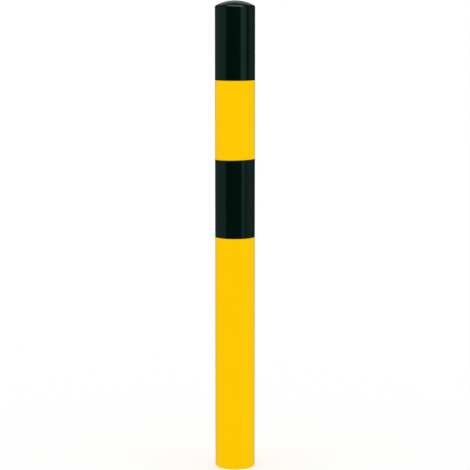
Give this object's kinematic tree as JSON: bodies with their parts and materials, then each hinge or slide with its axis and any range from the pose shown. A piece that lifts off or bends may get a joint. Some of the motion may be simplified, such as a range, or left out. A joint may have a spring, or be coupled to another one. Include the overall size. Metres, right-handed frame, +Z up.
{
  "type": "steel bollard",
  "caption": "Round steel bollard with a shallow domed cap, yellow with black bands, open at the foot, to be set in a concrete footing or a ground sleeve.",
  "frame": {"origin": "centre of the tube's foot, on the plane that it stands on", "axes": "+Z up along the tube's axis to the crown of the cap; the part is round, so +X and +Y are free, with +Y away from the picture's viewer"},
  "size_m": [0.1018, 0.1018, 1.2002],
  "materials": {
    "yellow_coat": "smooth satin-gloss traffic yellow",
    "black_coat": "smooth satin-gloss black",
    "bare_steel": "galvanised, dull grey, hidden under the coat outside"
  },
  "bodies": {
    "root": {"post_tube": "yellow_coat", "dome_cap": "bare_steel", "cap_weld": "bare_steel", "upper_black_coat": "black_coat", "lower_black_coat": "black_coat"}
  },
  "joints": []
}
